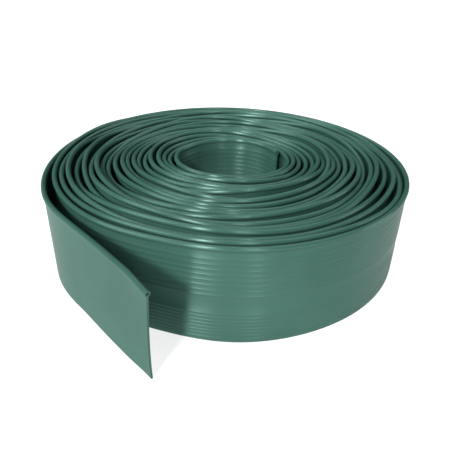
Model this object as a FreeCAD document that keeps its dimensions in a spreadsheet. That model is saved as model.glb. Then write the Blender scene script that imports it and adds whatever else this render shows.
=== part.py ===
import FreeCAD, Part
import math
import os
import Sketcher

# A roll of flat extruded plastic strip, standing on edge. The strip is one flat web with a
# hollow round bead along its upper edge. It is wound anticlockwise and outwards, seen from
# above, and its free outer end stands off the roll. Millimetres, +Z up. The origin is where
# the roll's axis meets the floor; the free end comes round to the -X, -Y side.

Vector = FreeCAD.Vector
UP = Vector(0, 0, 1)

# Driving dimensions: alias, value, what it is.
DIMENSIONS = [
    ("strip_height", 100.0, "height of the strip, from its lower edge to the top of the bead"),
    ("web_thickness", 1.8, "thickness of the flat web"),
    ("bead_diameter", 5.0, "outside diameter of the bead"),
    ("bead_bore", 2.6, "diameter of the bore through the bead"),
    ("first_radius", 52.4, "radius of the first half turn, to the middle of the web"),
    ("turn_pitch", 6.92, "growth of the radius in one whole turn"),
    ("turn_count", 20, "number of whole turns"),
    ("seam_angle", 134.0, "direction, from +X, in which each turn starts and ends"),
    ("inner_end_angle", 25.0, "direction in which the inner end's bend begins"),
    ("inner_end_straight", 12.0, "straight length at the very inner end"),
    ("inner_flex_angle", 75.0, "direction of the line at which the inner end flexes"),
    ("tail_arc_radius", 201.0, "radius of the bent stretch of the free end"),
    ("tail_arc_angle", 88.0, "angle of the bent stretch of the free end"),
    ("tail_arc_parts", 3, "number of parts that the bent stretch is divided into"),
    ("tail_straight", 131.0, "length of the straight stretch of the free end, along its top"),
    ("tail_straight_parts", 2, "number of parts that the straight stretch is divided into"),
    ("tail_end_slant", 14.0, "how much further the free end reaches at its top than at the floor"),
    ("flex_gap", 1.6, "gap at each line where an end of the strip flexes"),
]

doc = FreeCAD.newDocument("edging_roll")
sheet = doc.addObject("Spreadsheet::Sheet", "Sizes")
for row, (alias, value, meaning) in enumerate(DIMENSIONS, start=1):
    sheet.set(f"A{row}", alias)
    sheet.set(f"B{row}", str(value))
    sheet.set(f"C{row}", meaning)
    sheet.setAlias(f"B{row}", alias)
doc.recompute()

TURN_COUNT = int(sheet.turn_count)
ARC_PARTS = int(sheet.tail_arc_parts)
STRAIGHT_PARTS = int(sheet.tail_straight_parts)

# Shared formulas, as text that the document's expressions read.
SEAM_RADIUS = "(Sizes.first_radius + (Sizes.turn_count - 0.25) * Sizes.turn_pitch)"
TAIL_CENTRE = f"({SEAM_RADIUS} - Sizes.tail_arc_radius)"
GAP_ANGLE = "(Sizes.flex_gap / Sizes.tail_arc_radius * 180 / pi)"
INNER_RADIUS = "(Sizes.first_radius - Sizes.turn_pitch / 2)"
INNER_GAP_ANGLE = f"(Sizes.flex_gap / {INNER_RADIUS} * 180 / pi)"
ARC_STEP = "(Sizes.tail_arc_angle / Sizes.tail_arc_parts)"
STRAIGHT_STEP = "(Sizes.tail_straight / Sizes.tail_straight_parts)"

bodies = []


def new_body(label, angle, along_seam):
    """A body turned about +Z by an angle, its origin moved along the seam direction."""
    body = doc.addObject("PartDesign::Body", label)
    body.Label = label
    body.Placement = FreeCAD.Placement(Vector(), FreeCAD.Rotation(UP, 1))
    body.setExpression(".Placement.Rotation.Angle", angle)
    body.setExpression(".Placement.Base.x", f"{along_seam} * cos(Sizes.seam_angle * 1deg)")
    body.setExpression(".Placement.Base.y", f"{along_seam} * sin(Sizes.seam_angle * 1deg)")
    bodies.append(body)
    return body


def strip_section(body, name, radius, half_turned=False, shift="0", forward="0"):
    """The strip's section on the body's XZ plane: the web, the bead on top and its bore.

    The section stands at the given radius from the sketch's own vertical axis. That axis is
    shifted along the body's X by shift, and moved along the body's Y by forward. A half-turned
    sketch faces the other way, so its section is on the -X side of the axis.
    """
    sketch = body.newObject("Sketcher::SketchObject", f"{name}_section")
    plane = [item for item in body.Origin.OriginFeatures if item.Role == "XZ_Plane"][0]
    sketch.AttachmentSupport = [(plane, "")]
    sketch.MapMode = "FlatFace"
    turn = FreeCAD.Rotation(Vector(0, 1, 0), 180 if half_turned else 0)
    sketch.AttachmentOffset = FreeCAD.Placement(Vector(), turn)
    sketch.setExpression(".AttachmentOffset.Base.x", shift)
    sketch.setExpression(".AttachmentOffset.Base.z", f"-({forward})")

    # Rough places for the solver to start from; the constraints set the real ones.
    middle = float(sketch.evalExpression(radius))
    half_web = sheet.web_thickness / 2
    bead_radius = sheet.bead_diameter / 2
    bead_height = sheet.strip_height - bead_radius
    half_opening = math.asin(half_web / bead_radius)
    joint_height = bead_height - bead_radius * math.cos(half_opening)
    lower_inner = Vector(middle - half_web, 0, 0)
    lower_outer = Vector(middle + half_web, 0, 0)
    upper_outer = Vector(middle + half_web, joint_height, 0)
    upper_inner = Vector(middle - half_web, joint_height, 0)
    bead_centre = Vector(middle, bead_height, 0)
    down = -math.pi / 2
    bead_circle = Part.Circle(bead_centre, Vector(0, 0, 1), bead_radius)
    bore_circle = Part.Circle(bead_centre, Vector(0, 0, 1), sheet.bead_bore / 2)

    lower_edge = sketch.addGeometry(Part.LineSegment(lower_inner, lower_outer), False)
    outer_face = sketch.addGeometry(Part.LineSegment(lower_outer, upper_outer), False)
    bead_arc = Part.ArcOfCircle(bead_circle, down + half_opening, down - half_opening + 2 * math.pi)
    bead = sketch.addGeometry(bead_arc, False)
    inner_face = sketch.addGeometry(Part.LineSegment(upper_inner, lower_inner), False)
    bore = sketch.addGeometry(bore_circle, False)

    start, end, centre = 1, 2, 3
    origin_point = (-1, 1)
    horizontal_axis = -1
    constrain(sketch, "Coincident", lower_edge, end, outer_face, start)
    constrain(sketch, "Coincident", outer_face, end, bead, start)
    constrain(sketch, "Coincident", bead, end, inner_face, start)
    constrain(sketch, "Coincident", inner_face, end, lower_edge, start)
    constrain(sketch, "Coincident", bore, centre, bead, centre)
    constrain(sketch, "Vertical", outer_face)
    constrain(sketch, "Vertical", inner_face)
    constrain(sketch, "PointOnObject", lower_edge, start, horizontal_axis)
    constrain(sketch, "PointOnObject", lower_edge, end, horizontal_axis)

    half_thickness = "Sizes.web_thickness / 2"
    measure(sketch, "DistanceX", (*origin_point, bead, centre), middle, radius)
    measure(sketch, "DistanceX", (lower_edge, start, bead, centre), half_web, half_thickness)
    measure(sketch, "DistanceX", (bead, centre, lower_edge, end), half_web, half_thickness)
    measure(sketch, "DistanceY", (*origin_point, bead, centre), bead_height,
            "Sizes.strip_height - Sizes.bead_diameter / 2")
    measure(sketch, "Radius", (bead,), bead_radius, "Sizes.bead_diameter / 2")
    measure(sketch, "Radius", (bore,), sheet.bead_bore / 2, "Sizes.bead_bore / 2")
    return sketch


def constrain(sketch, kind, *places):
    sketch.addConstraint(Sketcher.Constraint(kind, *places))


def measure(sketch, kind, places, value, expression):
    """A dimension of the sketch, bound to the sheet."""
    index = sketch.addConstraint(Sketcher.Constraint(kind, *places, value))
    sketch.setExpression(f"Constraints[{index}]", expression)


def sweep_round(body, name, sketch, angle):
    """Carry the section anticlockwise round the sketch's vertical axis."""
    revolution = body.newObject("PartDesign::Revolution", f"{name}_bend")
    revolution.Profile = sketch
    revolution.ReferenceAxis = (sketch, ["V_Axis"])
    revolution.setExpression("Angle", angle)
    body.Tip = revolution


def sweep_straight(body, name, sketch, length, backwards=False):
    """Carry the section straight on, towards the body's +Y, or backwards towards -Y."""
    pad = body.newObject("PartDesign::Pad", f"{name}_straight")
    pad.Profile = sketch
    pad.Reversed = not backwards
    pad.setExpression("Length", length)
    body.Tip = pad


def make_inner_end():
    """The strip's inner end, which can flex: a straight stretch, then a bend to the flex line."""
    name = "inner_end"
    body = new_body(name, "Sizes.inner_end_angle", "Sizes.turn_pitch / 4")
    sweep_straight(body, name, strip_section(body, name, INNER_RADIUS),
                   "Sizes.inner_end_straight", backwards=True)
    sweep_round(body, name, strip_section(body, f"{name}_bend", INNER_RADIUS),
                f"Sizes.inner_flex_angle - Sizes.inner_end_angle - {INNER_GAP_ANGLE} / 2")


def make_inner_bend():
    """The bend that leads from the inner end's flex line up to the first turn."""
    name = "inner_bend"
    start = f"Sizes.inner_flex_angle + {INNER_GAP_ANGLE} / 2"
    body = new_body(name, start, "Sizes.turn_pitch / 4")
    sweep_round(body, name, strip_section(body, name, INNER_RADIUS),
                f"Sizes.seam_angle - ({start})")


def make_turn(number):
    """One whole turn, as two half circles. Their centres lie a half pitch apart."""
    name = f"turn_{number:02d}"
    body = new_body(name, "Sizes.seam_angle", "0")
    first = f"Sizes.first_radius + {number - 1} * Sizes.turn_pitch"
    second = f"Sizes.first_radius + {number - 0.5} * Sizes.turn_pitch"
    section = strip_section(body, f"{name}_first", first, shift="-Sizes.turn_pitch / 4")
    sweep_round(body, f"{name}_first", section, "180")
    section = strip_section(body, f"{name}_second", second, True, "Sizes.turn_pitch / 4")
    sweep_round(body, f"{name}_second", section, "180")


def make_tail_bend(number):
    """One part of the free end's bent stretch, between two flex lines."""
    name = f"free_end_{number}"
    angle = f"Sizes.seam_angle + {number - 1} * {ARC_STEP} + {GAP_ANGLE}"
    body = new_body(name, angle, TAIL_CENTRE)
    section = strip_section(body, name, "Sizes.tail_arc_radius")
    sweep_round(body, name, section, f"{ARC_STEP} - {GAP_ANGLE}")


def slant_end(body, name, reach):
    """Cut a straight piece's end on a slant: its lower corner is further back than its upper."""
    sketch = body.newObject("Sketcher::SketchObject", f"{name}_slant")
    plane = [item for item in body.Origin.OriginFeatures if item.Role == "YZ_Plane"][0]
    sketch.AttachmentSupport = [(plane, "")]
    sketch.MapMode = "FlatFace"

    # The corners of what is cut away: how far along the strip, and how high.
    past_end = f"{reach} + Sizes.tail_end_slant"
    short_of_end = f"{reach} - Sizes.tail_end_slant"
    height = "Sizes.strip_height"
    outline = [(reach, height), (past_end, height), (past_end, "0"), (short_of_end, "0")]
    corners = [Vector(*(float(sketch.evalExpression(size)) for size in corner)) for corner in outline]
    edges = []
    for here, there in zip(corners, corners[1:] + corners[:1]):
        edges.append(sketch.addGeometry(Part.LineSegment(here, there), False))
    start, end = 1, 2
    origin_point = (-1, 1)
    horizontal_axis = -1
    for edge, following in zip(edges, edges[1:] + edges[:1]):
        constrain(sketch, "Coincident", edge, end, following, start)
    for edge, corner, (along, up) in zip(edges, corners, outline):
        measure(sketch, "DistanceX", (*origin_point, edge, start), corner.x, along)
        if up == "0":
            constrain(sketch, "PointOnObject", edge, start, horizontal_axis)
        else:
            measure(sketch, "DistanceY", (*origin_point, edge, start), corner.y, up)

    whole = body.Tip
    doc.recompute()
    uncut_volume = body.Shape.Volume
    pocket = body.newObject("PartDesign::Pocket", f"{name}_slant_cut")
    pocket.BaseFeature = whole
    pocket.Profile = sketch
    pocket.Type = "ThroughAll"
    pocket.Midplane = True
    body.Tip = pocket
    doc.recompute()
    if body.Shape.Volume > uncut_volume * 0.95:
        raise RuntimeError(f"the slanted cut of {name} removed nothing")


def make_tail_straight(number):
    """One part of the free end's straight stretch. The last one runs on to the tip."""
    name = f"free_end_{ARC_PARTS + number}"
    angle = f"Sizes.seam_angle + Sizes.tail_arc_angle + {GAP_ANGLE} / 2"
    body = new_body(name, angle, TAIL_CENTRE)
    start = f"{number - 1} * {STRAIGHT_STEP} + Sizes.flex_gap / 2"
    end_gap = "0" if number == STRAIGHT_PARTS else "Sizes.flex_gap / 2"
    section = strip_section(body, name, "Sizes.tail_arc_radius", forward=start)
    length = f"{STRAIGHT_STEP} - Sizes.flex_gap / 2 - {end_gap}"
    sweep_straight(body, name, section, length)
    if number == STRAIGHT_PARTS:
        slant_end(body, name, f"{number} * {STRAIGHT_STEP}")


make_inner_end()
make_inner_bend()
for turn_number in range(1, TURN_COUNT + 1):
    make_turn(turn_number)
for part_number in range(1, ARC_PARTS + 1):
    make_tail_bend(part_number)
for part_number in range(1, STRAIGHT_PARTS + 1):
    make_tail_straight(part_number)
doc.recompute()

failed = [item.Label for item in doc.Objects if {"Invalid", "Error"} & set(item.State)]
if failed:
    raise RuntimeError(f"objects that failed: {failed}")


def strip_volume(length):
    """Volume of a stretch of the strip, from its section and its middle line's length."""
    bead_radius = sheet.bead_diameter / 2
    half_opening = math.asin(sheet.web_thickness / 2 / bead_radius)
    web_height = sheet.strip_height - bead_radius - bead_radius * math.cos(half_opening)
    segment = bead_radius ** 2 * (half_opening - math.sin(2 * half_opening) / 2)
    bead_area = math.pi * bead_radius ** 2 - segment
    bore_area = math.pi * (sheet.bead_bore / 2) ** 2
    return length * (web_height * sheet.web_thickness + bead_area - bore_area)


turn_length = 0
for turn_number in range(1, TURN_COUNT + 1):
    mean_radius = sheet.first_radius + (turn_number - 0.75) * sheet.turn_pitch
    turn_length += 2 * math.pi * mean_radius
built = sum(body.Shape.Volume for body in bodies if body.Label.startswith("turn_"))
if abs(built / strip_volume(turn_length) - 1) > 0.001:
    raise RuntimeError("the turns' volume does not match their section and length")

os.makedirs("parts", exist_ok=True)
for body in bodies:
    shape = body.Shape
    if shape.isNull() or not shape.isValid() or len(shape.Solids) != 1:
        raise RuntimeError(f"{body.Label} is not one valid solid")
    shape.exportStep(f"parts/{body.Label}.step")

print(f"{len(bodies)} pieces, turns hold {turn_length / 1000:.2f} m of strip")
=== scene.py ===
"""Looks of a standing roll of beaded edging strip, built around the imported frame.

Metres, +Z up, the roll's axis at the origin. The strip is one extrusion, so every visible piece is
the same section carried along a stretch of one long path: the inner end, the wound turns, and the
free end, which is divided at its flex lines. The wound turns wander in radius and in height, as
loosely wound strip does, and each keeps clear of its neighbours.
"""

import math

import bpy
import numpy as np
from mathutils import Matrix, Vector


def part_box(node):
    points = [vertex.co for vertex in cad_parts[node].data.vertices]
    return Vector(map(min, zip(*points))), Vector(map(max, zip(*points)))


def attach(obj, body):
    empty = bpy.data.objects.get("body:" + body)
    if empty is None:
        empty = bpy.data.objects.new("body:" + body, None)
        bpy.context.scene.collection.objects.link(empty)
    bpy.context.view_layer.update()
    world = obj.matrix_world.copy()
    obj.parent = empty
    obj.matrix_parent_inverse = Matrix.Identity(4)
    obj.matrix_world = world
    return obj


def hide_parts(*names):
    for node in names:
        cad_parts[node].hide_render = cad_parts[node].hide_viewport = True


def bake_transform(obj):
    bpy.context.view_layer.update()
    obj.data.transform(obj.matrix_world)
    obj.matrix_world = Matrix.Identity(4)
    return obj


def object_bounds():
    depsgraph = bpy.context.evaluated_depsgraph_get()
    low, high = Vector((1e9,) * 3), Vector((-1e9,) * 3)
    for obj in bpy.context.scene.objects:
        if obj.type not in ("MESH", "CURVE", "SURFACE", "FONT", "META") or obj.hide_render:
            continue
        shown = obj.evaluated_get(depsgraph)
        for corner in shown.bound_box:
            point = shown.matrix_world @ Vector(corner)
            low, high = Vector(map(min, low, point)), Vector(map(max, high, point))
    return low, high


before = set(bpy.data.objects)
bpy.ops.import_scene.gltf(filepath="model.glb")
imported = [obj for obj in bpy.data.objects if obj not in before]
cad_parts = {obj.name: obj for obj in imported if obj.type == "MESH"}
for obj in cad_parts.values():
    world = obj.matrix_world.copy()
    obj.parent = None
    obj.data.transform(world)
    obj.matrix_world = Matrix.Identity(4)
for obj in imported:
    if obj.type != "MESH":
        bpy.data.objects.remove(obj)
cad_low, cad_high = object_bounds()

# ---------------------------------------------------------------- sizes of the strip and the roll

STRIP_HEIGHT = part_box("turn_01")[1].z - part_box("turn_01")[0].z
WEB_HALF = 0.0009
BEAD_RADIUS = 0.0025
BORE_RADIUS = 0.0013
BEAD_HEIGHT = STRIP_HEIGHT - BEAD_RADIUS
NECK_RADIUS = 0.0024            # the fillet between the web and the bead
EDGE_CHAMFER = 0.0003

FIRST_RADIUS = 0.0524
PITCH = 0.00692
TURNS = sum(name.startswith("turn_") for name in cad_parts)
SEAM = math.radians(134)
INNER_START = math.radians(25) - SEAM
INNER_STRAIGHT = 0.012
TAIL_RADIUS = 0.201
TAIL_ANGLE = math.radians(88)
TAIL_STRAIGHT = 0.131           # along the top; the slanted end makes the lower edge shorter
TAIL_END_SLANT = 0.014
FLEX_GAP = 0.0016

# Two groups of fine ridges run along both faces of the web: height of the top ridge, spacing, count.
RIDGE_GROUPS = [(0.0872, 0.0052, 8), (0.0310, 0.0038, 8)]
RIDGE_HEIGHT = 0.00024
RIDGE_SHAPE = [(-0.0007, 0.0), (-0.00025, 0.75), (0.0, 1.0), (0.00025, 0.75), (0.0007, 0.0)]
RIDGE_TOP = 0.0885              # above this the face has only its neck and bead
FAINT = 0.05                    # the free end shows its ridges this much

TAIL_STEP = 0.004               # the free end has a section this often
SHARP_ANGLE = math.radians(38)  # faces that meet at more than this are shaded as an edge
SLANT_POWER = 1.5               # the cut at the tip curves a little
UV_NAME = "strip"


# ---------------------------------------------------------------- the section

def neck():
    """The neck fillet: its centre, and the angle from straight down where it meets the bead."""
    across = WEB_HALF + NECK_RADIUS
    reach = BEAD_RADIUS + NECK_RADIUS
    down = math.sqrt(reach ** 2 - across ** 2)
    return across, BEAD_HEIGHT - down, math.atan2(across, down)


def face_profile(ridged, neck_steps=4):
    """One face of the web, upwards: (height, distance from the middle of the web).

    The ridges stand at the given share of their full height, and a share of 0 leaves them out.
    """
    rows = [(0.0, WEB_HALF - EDGE_CHAMFER), (EDGE_CHAMFER, WEB_HALF)]
    if ridged > 0:
        for top, spacing, count in reversed(RIDGE_GROUPS):
            for number in reversed(range(count)):
                middle = top - number * spacing
                rows += [(middle + step, WEB_HALF + ridged * RIDGE_HEIGHT * share)
                         for step, share in RIDGE_SHAPE]
    else:
        rows.append((STRIP_HEIGHT / 2, WEB_HALF))
    across, height, opening = neck()
    for turn in np.linspace(0, math.pi / 2 - opening, neck_steps + 1):
        rows.append((height + NECK_RADIUS * math.sin(turn), across - NECK_RADIUS * math.cos(turn)))
    return np.array(rows)


def strip_section(ridged, bead_steps=18):
    """The closed outline and the bore, as (outward, up) points, and the rows of the web."""
    rows = face_profile(ridged)
    outer = rows[:, ::-1]
    inner = outer * [-1, 1]
    opening = neck()[2]
    angles = np.linspace(opening, 2 * math.pi - opening, bead_steps + 1) - math.pi / 2
    circle = np.column_stack([np.cos(angles), np.sin(angles)])
    bead = circle * BEAD_RADIUS + [0, BEAD_HEIGHT]
    bore = circle * BORE_RADIUS + [0, BEAD_HEIGHT]
    outline = np.vstack([outer, bead[1:-1], inner[::-1]])
    return outline, bore, len(rows)


def end_faces(rows, bead_steps, outline_count):
    """Faces that close an end: a ladder up the web, then a ring round the bore."""
    faces = []
    last = outline_count - 1
    for row in range(rows - 1):
        faces.append((row, row + 1, last - row - 1, last - row))
    bore = outline_count
    bead = rows - 1
    for step in range(bead_steps):
        faces.append((bead + step, bead + step + 1, bore + step + 1, bore + step))
    faces.append((bead + bead_steps, bead, bore, bore + bead_steps))
    return faces


def sweep_faces(sections, outline, bore_count):
    """Faces between neighbouring sections, and each one's section and reach round the outline.

    A face inside the bore has no reach.
    """
    outline_count = len(outline)
    size = outline_count + bore_count
    steps = np.linalg.norm(np.diff(np.vstack([outline, outline[:1]]), axis=0), axis=1)
    girth = np.concatenate([[0], np.cumsum(steps)])
    faces = []
    girths = []
    for section in range(sections - 1):
        here = section * size
        there = here + size
        for j in range(outline_count):
            k = (j + 1) % outline_count
            faces.append((here + j, there + j, there + k, here + k))
            girths.append((section, girth[j], girth[j + 1]))
        for j in range(bore_count):
            k = (j + 1) % bore_count
            a, b = outline_count + j, outline_count + k
            faces.append((here + a, here + b, there + b, there + a))
            girths.append((section, 0.0, 0.0))
    return faces, girths


def lay_out_strip(mesh, girths, distances):
    """UVs in metres: along the strip and round its outline."""
    uv = np.zeros((len(mesh.loops), 2))
    corner = 0
    for section, low, high in girths:
        start, end = distances[section], distances[section + 1]
        if high > 0:
            uv[corner:corner + 4] = [(start, low), (end, low), (end, high), (start, high)]
        corner += 4
    mesh.uv_layers.new(name=UV_NAME).data.foreach_set("uv", uv.ravel())


def sweep_strip(name, points, tangents, lifts, distances, ridged, leans=None, slants=None):
    """One closed piece of strip along a path, with its length and girth as UVs in metres.

    The ridges' share of their full height may change along the piece. A lean is how far the top
    stands outward of the foot. A slant is how far the foot stays back along the path from the top.
    """
    count = len(points)
    ridged = np.broadcast_to(ridged, count)
    most = ridged.max()
    outline, bore, rows = strip_section(most)
    bead_steps = len(bore) - 1
    ring = np.vstack([outline, bore])
    size = len(ring)
    face = ring[:, 0].copy()
    on_ridge = (ring[:, 1] < RIDGE_TOP) & (np.abs(face) > WEB_HALF)
    height = np.where(on_ridge, face - np.sign(face) * WEB_HALF, 0.0)
    lost = (1 - ridged / max(most, 1e-9))[:, None] * height[None, :]
    leans = np.zeros(count) if leans is None else leans
    slants = np.zeros(count) if slants is None else slants
    outward = np.column_stack([tangents[:, 1], -tangents[:, 0]])
    up_share = ring[None, :, 1] / STRIP_HEIGHT
    across = face[None, :] - lost + leans[:, None] * (up_share - 0.5)
    onward = slants[:, None] * (np.clip(up_share, 0, 1) ** SLANT_POWER - 1)
    places = np.zeros((count, size, 3))
    places[:, :, :2] = points[:, None, :] + outward[:, None, :] * across[:, :, None]
    places[:, :, :2] += tangents[:, None, :] * onward[:, :, None]
    places[:, :, 2] = ring[None, :, 1] + lifts[:, None]

    faces, girths = sweep_faces(count, outline, len(bore))
    ends = end_faces(rows, bead_steps, len(outline))
    last = (count - 1) * size
    faces += ends
    faces += [tuple(last + v for v in reversed(face)) for face in ends]

    mesh = bpy.data.meshes.new(name)
    mesh.from_pydata(places.reshape(-1, 3).tolist(), [], faces)
    lay_out_strip(mesh, girths, distances)
    mesh.polygons.foreach_set("use_smooth", np.ones(len(mesh.polygons), bool))
    mesh.set_sharp_from_angle(angle=SHARP_ANGLE)
    mesh.validate()
    piece = bpy.data.objects.new(name, mesh)
    bpy.context.scene.collection.objects.link(piece)
    return piece


# ---------------------------------------------------------------- the path of the wound turns

GRID = 144                      # path samples in one turn
LAST_SWEEP = 2 * math.pi * TURNS


def wound_radius(sweep):
    """Centre offset along the seam, and radius, of the half circle at a sweep past turn one."""
    half = np.floor(sweep / math.pi + 1e-9)
    half = np.minimum(half, 2 * TURNS - 1)
    centre = np.where(half % 2 == 0, -PITCH / 4, PITCH / 4)
    return centre, FIRST_RADIUS + half * PITCH / 2


def smooth_noise(lengths, seed, reach, waves=24):
    """Smooth noise along the strip, about -2 to 2: waves of mixed length with random phases."""
    shortest, longest = reach
    draw = np.random.default_rng(seed)
    periods = np.exp(draw.uniform(math.log(shortest), math.log(longest), waves))
    phases = draw.uniform(0, 2 * math.pi, waves)
    turned = 2 * math.pi * lengths[:, None] / periods + phases
    return np.sin(turned).sum(axis=1) * math.sqrt(2 / waves)


LIFT_MEAN = 0.0026              # the turns stand this far off the floor on average
LIFT_SPREAD = 0.0025
LIFT_MOST = 0.0080
OUTER_CALM = 0.6                # the outer turns' lifts are this much smaller
SPACING_SPREAD = 0.24           # how uneven the spaces between turns are, as a share of the pitch
CLEARANCE = 0.0001              # the least gap between neighbouring turns
CLOSING = 0.35                  # how much closer a turn lies to one that stands higher or lower

LIFT_WAVES = (0.22, 0.80)       # the shortest and longest waves in the lifts, in metres
SPACING_WAVES = (0.20, 0.60)
LIFT_SEED = 11
SPACING_SEED = 5

# The turns find their places in small steps: each step mends a share of every wrong space.
HOMING = 0.012                  # how strongly each turn keeps to its own place in the roll
MEND = 0.25
WANDER_STEPS = 600              # steps that work towards the wanted spaces
CLEAR_STEPS = 300               # steps after that, which only part turns that are too close
SMOOTH_EVERY = 60
LAST_SMOOTH = 860
SMOOTH_REACH = 3                # in path samples

# The inner end and the first turn are pressed to an oval, long from side to side.
OVAL_GROWTH = 0.0015
OVAL = 0.0070

# How far the outermost turn stands out, and how high: height, direction and width of each hump.
OUTER_BULGES = [(0.0022, math.radians(-6), math.radians(36)),
                (0.0040, math.radians(188), math.radians(40)),
                (-0.0040, math.radians(252), math.radians(16)),
                (-0.0016, math.radians(295), math.radians(30))]
OUTER_RISES = [(0.0008, math.radians(115), math.radians(40)),
               (0.0035, math.radians(152), math.radians(20))]
OUTER_LIFT = 0.0006


def humps(angle, shapes):
    """The sum of smooth humps about their directions."""
    total = np.zeros(len(angle))
    for height, middle, width in shapes:
        away = np.angle(np.exp(1j * (angle - middle)))
        total += height * np.exp(-(away / width) ** 2)
    return total


def fade(values, low, high):
    """0 below low, 1 above high, eased between."""
    share = np.clip((values - low) / (high - low), 0, 1)
    return share * share * (3 - 2 * share)


def least_spacing(height_difference):
    """How close two neighbouring turns may lie, from the heights of their beads."""
    clear = 2 * BEAD_RADIUS + CLEARANCE
    beads = np.sqrt(np.maximum(0.0, clear ** 2 - height_difference ** 2))
    return np.maximum(beads, BEAD_RADIUS + WEB_HALF + RIDGE_HEIGHT + CLEARANCE)


def smoothed(values, reach):
    """A running mean with soft shoulders."""
    window = np.hanning(2 * reach + 1)
    padded = np.pad(values, reach, mode="edge")
    return np.convolve(padded, window / window.sum(), mode="valid")


def settle(sweep, lengths):
    """The turns' wander in radius and height, with every turn clear of its neighbours."""
    turn = 2 * math.pi
    angle = SEAM + sweep
    first = 1 - fade(sweep, 0.55 * turn, 1.0 * turn)
    last = fade(sweep, LAST_SWEEP - 1.10 * turn, LAST_SWEEP - 0.95 * turn)
    oval = OVAL_GROWTH + OVAL * np.cos(2 * angle) * (0.45 + 0.55 * fade(sweep, 0, 0.1 * turn))
    ending = 1 - fade(sweep, LAST_SWEEP - 0.2 * turn, LAST_SWEEP)
    bulge = ending * humps(angle, OUTER_BULGES)

    lift = LIFT_MEAN + LIFT_SPREAD * smooth_noise(lengths, LIFT_SEED, LIFT_WAVES)
    lift = smoothed(np.clip(lift, 0.0, LIFT_MOST), SMOOTH_REACH)
    lift *= 1 - OUTER_CALM * fade(sweep, LAST_SWEEP - 4 * turn, LAST_SWEEP - 2 * turn)
    lift += last * (OUTER_LIFT + ending * humps(angle, OUTER_RISES) - lift)

    apart = np.abs(lift[GRID:] - lift[:-GRID])
    uneven = SPACING_SPREAD * smooth_noise(lengths, SPACING_SEED, SPACING_WAVES)[GRID:]
    closing = CLOSING * np.clip(apart / (2 * BEAD_RADIUS), 0, 1)
    wanted = PITCH * (1 + uneven - closing)
    need = least_spacing(apart)
    wanted = np.maximum(wanted, need)
    home = oval * (1 - fade(sweep, 0, LAST_SWEEP)) ** 2
    wander = home.copy()
    for step in range(WANDER_STEPS + CLEAR_STEPS):
        spacing = PITCH + wander[GRID:] - wander[:-GRID]
        if step < WANDER_STEPS:
            short = wanted - spacing
            wander += HOMING * (home - wander)
        else:
            short = np.maximum(need - spacing, 0)
        wander[GRID:] += MEND * short
        wander[:-GRID] -= MEND * short
        wander += first * (oval - wander) + last * (bulge - wander)
        if (step + 1) % SMOOTH_EVERY == 0 and step < LAST_SMOOTH:
            wander = smoothed(wander, SMOOTH_REACH)
    return wander, lift


def wound_path():
    """Points, tangents, lifts and running length of the whole wound strip."""
    straight_steps = 4
    step = 2 * math.pi / GRID
    first = math.ceil(INNER_START / step)
    sweep = np.concatenate([[INNER_START], np.arange(first, TURNS * GRID + 1) * step])
    centre, radius = wound_radius(sweep)
    lengths = np.concatenate([[0], np.cumsum(radius[1:] * np.diff(sweep))])
    wander, lift = settle(sweep, lengths)
    radius = radius + wander
    angle = SEAM + sweep
    seam = np.array([math.cos(SEAM), math.sin(SEAM)])
    points = centre[:, None] * seam
    points = points + radius[:, None] * np.column_stack([np.cos(angle), np.sin(angle)])
    start = (points[0] - points[1]) / np.linalg.norm(points[0] - points[1])
    away = np.linspace(INNER_STRAIGHT, 0, straight_steps, endpoint=False)
    points = np.vstack([points[0] + away[:, None] * start, points])
    lift = np.concatenate([np.full(straight_steps, lift[0]), lift])
    sweep = np.concatenate([np.full(straight_steps, INNER_START), sweep])
    return points, path_tangents(points), lift, path_lengths(points), sweep


def path_tangents(points):
    tangents = np.gradient(points, axis=0)
    return tangents / np.linalg.norm(tangents, axis=1)[:, None]


def path_lengths(points):
    return np.concatenate([[0], np.cumsum(np.linalg.norm(np.diff(points, axis=0), axis=1))])


# ---------------------------------------------------------------- the path of the free end

LAST_RADIUS = FIRST_RADIUS + (2 * TURNS - 1) * PITCH / 2
SEAM_RADIUS = LAST_RADIUS + PITCH / 4
ARC_LENGTH = TAIL_RADIUS * TAIL_ANGLE
FLEX_COUNT = 3                  # flex lines in the bent stretch; the straight one has two more
FLEX_LINES = [FLEX_GAP / 2 + ARC_LENGTH * i / FLEX_COUNT for i in range(FLEX_COUNT)]
FLEX_LINES += [FLEX_GAP / 2 + ARC_LENGTH, FLEX_GAP / 2 + ARC_LENGTH + TAIL_STRAIGHT / 2]
TIP = FLEX_GAP / 2 + ARC_LENGTH + TAIL_STRAIGHT
FREE_START = -0.040             # the first free piece starts this far back on the roll

# How the free end strays from its plain arc and line: (distance past the seam, how far outward,
# how far the top leans outward of the foot).
STRAYS = [(0.00, 0.0, 0.0), (0.10, 0.0, -0.0010), (0.16, 0.0005, -0.0015),
          (0.21, 0.0013, 0.0), (0.26, 0.0017, 0.0020), (0.31, -0.0007, 0.0035),
          (0.36, -0.0007, 0.0020), (0.41, -0.0006, 0.0030), (0.44, 0.0008, 0.0077)]


def free_points(distance):
    """Points of the free end at distances past the seam; a negative one is back on the roll."""
    seam = np.array([math.cos(SEAM), math.sin(SEAM)])
    arc_end = FLEX_GAP / 2 + ARC_LENGTH
    angle = SEAM + np.where(distance < 0, distance / LAST_RADIUS,
                            np.minimum(distance, arc_end) / TAIL_RADIUS)
    radius = np.where(distance < 0, LAST_RADIUS, TAIL_RADIUS)
    centre = SEAM_RADIUS - radius
    points = centre[:, None] * seam
    outward = np.column_stack([np.cos(angle), np.sin(angle)])
    points = points + (radius + stray(distance, 1))[:, None] * outward
    onward = np.maximum(0.0, distance - arc_end)
    return points + onward[:, None] * np.column_stack([-np.sin(angle), np.cos(angle)])


def free_tangents(distance):
    step = 0.0005
    onward = free_points(distance + step) - free_points(distance - step)
    return onward / np.linalg.norm(onward, axis=1)[:, None]


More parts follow.
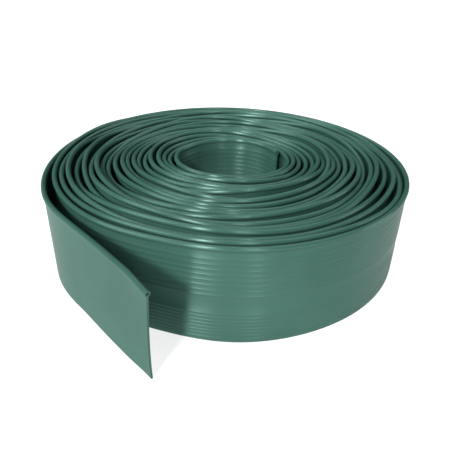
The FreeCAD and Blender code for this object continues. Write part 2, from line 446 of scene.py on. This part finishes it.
def stray(distance, column):
    """A stray's value along the free end, eased from each named place to the next."""
    places = [row[0] for row in STRAYS]
    values = [row[column] for row in STRAYS]
    fine = np.linspace(-0.06, TIP + 0.01, 400)
    eased = smoothed(np.interp(fine, places, values), 16)
    return np.interp(distance, fine, eased)


# ---------------------------------------------------------------- pieces

def build_wound_pieces():
    points, tangents, lifts, lengths, sweep = wound_path()
    pieces = []
    for number in range(TURNS + 1):
        low = -10.0 if number == 0 else (number - 1) * 2 * math.pi
        high = number * 2 * math.pi
        if number == TURNS:
            high = LAST_SWEEP + FREE_START / LAST_RADIUS
        inside = np.flatnonzero((sweep > low - 1e-6) & (sweep < high + 1e-6))
        part = [values[inside] for values in (points, tangents, lifts, lengths)]
        if number == TURNS:
            edge = free_points(np.array([FREE_START]))
            part[0] = np.vstack([part[0], edge])
            part[1] = np.vstack([part[1], free_tangents(np.array([FREE_START]))])
            part[2] = np.append(part[2], OUTER_LIFT)
            part[3] = np.append(part[3], lengths[-1] + FREE_START)
        ridged = 1.0 if number in (0, 1, TURNS - 1, TURNS) else 0.0
        if number == 0:
            piece = sweep_strip("strip_inner_end", *part, ridged)
            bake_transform(piece)
            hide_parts("inner_end", "inner_bend")
        else:
            node = f"turn_{number:02d}"
            piece = sweep_strip(f"strip_{node}", *part, ridged)
            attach(piece, "roll")
            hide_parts(node)
        pieces.append(piece)
    return pieces, lengths[-1]


def build_free_pieces(start_length):
    edges = [FREE_START]
    edges += [(a + b) / 2 for a, b in zip(FLEX_LINES[:-1], FLEX_LINES[1:])]
    edges.append(TIP)
    pieces = []
    for number, (low, high) in enumerate(zip(edges[:-1], edges[1:]), start=1):
        steps = math.ceil((high - low) / TAIL_STEP)
        distance = np.linspace(low, high, steps + 1)
        points = free_points(distance)
        tangents = free_tangents(distance)
        drop = np.clip((distance - FREE_START) / (FLEX_LINES[1] - FREE_START), 0, 1)
        lifts = OUTER_LIFT * (1 - drop)
        ridged = np.full(len(distance), FAINT)
        if number == 1:
            ridged = 1 - (1 - FAINT) * fade(distance, low, high)
        slants = np.zeros(len(distance))
        if high == TIP:
            slants = TAIL_END_SLANT * (distance - low) / (high - low)
        piece = sweep_strip(f"strip_free_end_{number}", points, tangents, lifts,
                            start_length + distance, ridged, stray(distance, 2), slants)
        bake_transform(piece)
        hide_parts(f"free_end_{number}")
        pieces.append(piece)
    return pieces


# ---------------------------------------------------------------- materials

def new_material(name):
    material = bpy.data.materials.new(name)
    material.use_nodes = True
    tree = material.node_tree
    shader = tree.nodes["Principled BSDF"]
    return material, tree, shader


def add_node(tree, kind, **settings):
    node = tree.nodes.new(kind)
    for name, value in settings.items():
        setattr(node, name, value)
    return node


def scaled_noise(tree, vector, scale, noise_scale, detail):
    """Noise over a coordinate stretched by a scale for each axis."""
    mapping = add_node(tree, "ShaderNodeMapping")
    mapping.inputs["Scale"].default_value = scale
    tree.links.new(vector, mapping.inputs["Vector"])
    noise = add_node(tree, "ShaderNodeTexNoise")
    noise.inputs["Scale"].default_value = noise_scale
    noise.inputs["Detail"].default_value = detail
    tree.links.new(mapping.outputs["Vector"], noise.inputs["Vector"])
    return noise.outputs["Fac"]


def ranged(tree, value, low, high):
    """A noise value spread over a range."""
    spread = add_node(tree, "ShaderNodeMapRange")
    spread.inputs["From Min"].default_value = 0.3
    spread.inputs["From Max"].default_value = 0.7
    spread.inputs["To Min"].default_value = low
    spread.inputs["To Max"].default_value = high
    tree.links.new(value, spread.inputs["Value"])
    return spread.outputs["Result"]


def strip_material():
    """Green extruded polyethylene: satin, faintly mottled, with fine lines along its length."""
    material, tree, shader = new_material("green_polyethylene")
    place = add_node(tree, "ShaderNodeTexCoord")
    uv = place.outputs["UV"]
    mottle = scaled_noise(tree, place.outputs["Object"], (1, 1, 1), 16.0, 3.0)
    streaks = scaled_noise(tree, uv, (6.0, 700.0, 1.0), 1.0, 4.0)
    grain = scaled_noise(tree, place.outputs["Object"], (1, 1, 1), 900.0, 2.0)

    tint = add_node(tree, "ShaderNodeMix", data_type="RGBA")
    tint.inputs["A"].default_value = (0.0235, 0.068, 0.0535, 1)
    tint.inputs["B"].default_value = (0.0300, 0.080, 0.0635, 1)
    tree.links.new(ranged(tree, mottle, 0.0, 1.0), tint.inputs["Factor"])
    lines = add_node(tree, "ShaderNodeMix", data_type="RGBA", blend_type="MULTIPLY")
    lines.inputs["Factor"].default_value = 1.0
    shade = ranged(tree, streaks, 0.94, 1.05)
    tree.links.new(tint.outputs["Result"], lines.inputs["A"])
    tree.links.new(shade, lines.inputs["B"])
    tree.links.new(lines.outputs["Result"], shader.inputs["Base Color"])
    tree.links.new(ranged(tree, streaks, 0.31, 0.37), shader.inputs["Roughness"])
    # A low level keeps the glancing shine weak, and the strong green tint brings back the shine
    # seen face on. The shine is stretched up and down, across the fine lines of the extrusion.
    shader.inputs["IOR"].default_value = 1.5
    shader.inputs["Specular IOR Level"].default_value = 0.05
    shader.inputs["Specular Tint"].default_value = (6.5, 10.5, 9.2, 1)
    shader.inputs["Anisotropic"].default_value = 0.9
    shader.inputs["Anisotropic Rotation"].default_value = 0.25
    along = add_node(tree, "ShaderNodeTangent", direction_type="UV_MAP", uv_map=UV_NAME)
    tree.links.new(along.outputs["Tangent"], shader.inputs["Tangent"])

    bump = add_node(tree, "ShaderNodeBump")
    bump.inputs["Strength"].default_value = 0.15
    bump.inputs["Distance"].default_value = 0.0002
    height = add_node(tree, "ShaderNodeMath", operation="MULTIPLY_ADD")
    tree.links.new(grain, height.inputs[0])
    height.inputs[1].default_value = 0.15
    tree.links.new(streaks, height.inputs[2])
    tree.links.new(height.outputs["Value"], bump.inputs["Height"])
    tree.links.new(bump.outputs["Normal"], shader.inputs["Normal"])
    return material


def floor_material():
    """A pale floor lit from below, like a photographer's light table."""
    material, tree, shader = new_material("pale_floor")
    place = add_node(tree, "ShaderNodeTexCoord")
    mottle = scaled_noise(tree, place.outputs["Object"], (1, 1, 1), 3.0, 2.0)
    tint = add_node(tree, "ShaderNodeMix", data_type="RGBA")
    tint.inputs["A"].default_value = (0.35, 0.35, 0.35, 1)
    tint.inputs["B"].default_value = (0.37, 0.37, 0.37, 1)
    tree.links.new(mottle, tint.inputs["Factor"])
    tree.links.new(tint.outputs["Result"], shader.inputs["Base Color"])
    shader.inputs["Roughness"].default_value = 0.9
    shader.inputs["Specular IOR Level"].default_value = 0.1
    shader.inputs["Emission Color"].default_value = (1, 1, 1, 1)
    shader.inputs["Emission Strength"].default_value = 0.75
    return material


# ---------------------------------------------------------------- floor, light and camera

def build_floor():
    half = 30.0
    mesh = bpy.data.meshes.new("floor")
    corners = [(-half, -half, 0), (half, -half, 0), (half, half, 0), (-half, half, 0)]
    mesh.from_pydata(corners, [], [(0, 1, 2, 3)])
    floor = bpy.data.objects.new("floor", mesh)
    bpy.context.scene.collection.objects.link(floor)
    floor.location.z = cad_low.z - 0.0002
    mesh.materials.append(floor_material())


# Soft lamps far away: name, degrees round from the camera's side (+ is to the right), degrees up,
# how wide the lamp looks in degrees, strength.
LAMPS = [("front", -24, 6, 8, 0.7), ("front_right", 16, 6, 5, 0.4),
         ("above", -22, 32, 8, 3.1), ("above_right", 14, 44, 6, 0.8),
         ("left", -66, 34, 40, 2.5), ("right", 95, 10, 30, 0.85),
         ("back", 178, 58, 50, 1.3)]


def build_lights():
    world = bpy.data.worlds.new("studio")
    world.use_nodes = True
    world.node_tree.nodes["Background"].inputs["Color"].default_value = (1, 1, 1, 1)
    world.node_tree.nodes["Background"].inputs["Strength"].default_value = 0.08
    bpy.context.scene.world = world
    for name, around, up, width, strength in LAMPS:
        data = bpy.data.lights.new(name, "SUN")
        data.energy = strength
        data.angle = math.radians(width)
        light = bpy.data.objects.new(name, data)
        bpy.context.scene.collection.objects.link(light)
        around, up = math.radians(around), math.radians(up)
        towards = Vector((math.sin(around) * math.cos(up), -math.cos(around) * math.cos(up),
                          math.sin(up)))
        light.rotation_mode = "QUATERNION"
        light.rotation_quaternion = (-towards).to_track_quat("-Z", "Y")


# The camera, in metres and radians.
CAMERA_PLACE = Vector((-0.004, -0.5173, 0.3123))
CAMERA_TILT = math.radians(29.9)
CAMERA_ROLL = 0.03
FOCAL_SHARE = 500 / 450         # focal length as a share of the picture's width


def build_camera():
    data = bpy.data.cameras.new("camera")
    data.lens = data.sensor_width * FOCAL_SHARE
    camera = bpy.data.objects.new("camera", data)
    bpy.context.scene.collection.objects.link(camera)
    forward = Vector((0, math.cos(CAMERA_TILT), -math.sin(CAMERA_TILT)))
    level = Vector((1, 0, 0))
    upright = level.cross(forward)
    right = level * math.cos(CAMERA_ROLL) + upright * math.sin(CAMERA_ROLL)
    up = upright * math.cos(CAMERA_ROLL) - level * math.sin(CAMERA_ROLL)
    turn = Matrix((right, up, -forward)).transposed()
    camera.matrix_world = Matrix.Translation(CAMERA_PLACE) @ turn.to_4x4()
    bpy.context.scene.camera = camera


wound, wound_length = build_wound_pieces()
free = build_free_pieces(wound_length)
plastic = strip_material()
for piece in wound + free:
    piece.data.materials.append(plastic)
build_floor()
build_lights()
build_camera()
bpy.context.scene.view_settings.view_transform = "Standard"
